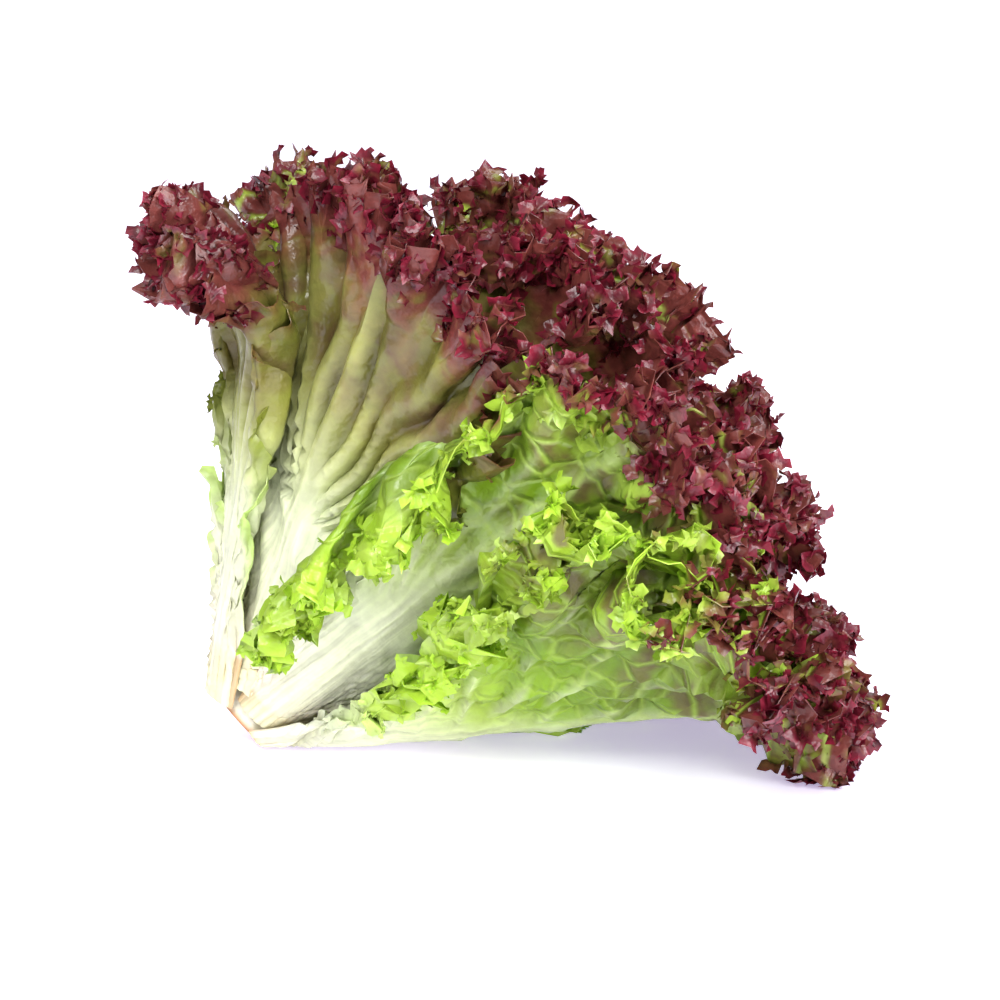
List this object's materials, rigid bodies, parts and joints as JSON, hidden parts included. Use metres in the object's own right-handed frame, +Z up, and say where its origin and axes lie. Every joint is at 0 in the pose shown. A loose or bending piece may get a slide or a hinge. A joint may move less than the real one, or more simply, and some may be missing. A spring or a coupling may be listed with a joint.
{
  "type": "red leaf lettuce",
  "caption": "Head of red leaf lettuce lying on its side: a short cut stem carries a spiral of overlapping leaves, white at the base, green in the blade and frilled dark red along the margin.",
  "frame": {"origin": "middle of the bounding box, on the table that the head lies on", "axes": "+Z up; the head's axis rises from the cut stem towards +X; the picture looks along +Y, turned a little"},
  "size_m": [0.2154, 0.249, 0.1847],
  "materials": {
    "stem": "matt cut plant tissue, cream with a tan edge",
    "outer_leaf": "waxy leaf, white-green base to dark red frill",
    "heart_leaf": "waxy leaf, pale green with a red frill"
  },
  "bodies": {
    "root": {"stem": "stem", "leaf_01": "outer_leaf", "leaf_02": "outer_leaf", "leaf_03": "outer_leaf", "leaf_04": "outer_leaf", "leaf_05": "outer_leaf", "leaf_06": "outer_leaf", "leaf_07": "outer_leaf", "leaf_08": "outer_leaf", "leaf_09": "outer_leaf", "leaf_10": "outer_leaf", "leaf_11": "outer_leaf", "leaf_12": "outer_leaf", "leaf_13": "heart_leaf", "leaf_14": "heart_leaf", "leaf_15": "heart_leaf", "leaf_16": "heart_leaf", "leaf_17": "heart_leaf", "leaf_18": "heart_leaf"}
  },
  "joints": []
}
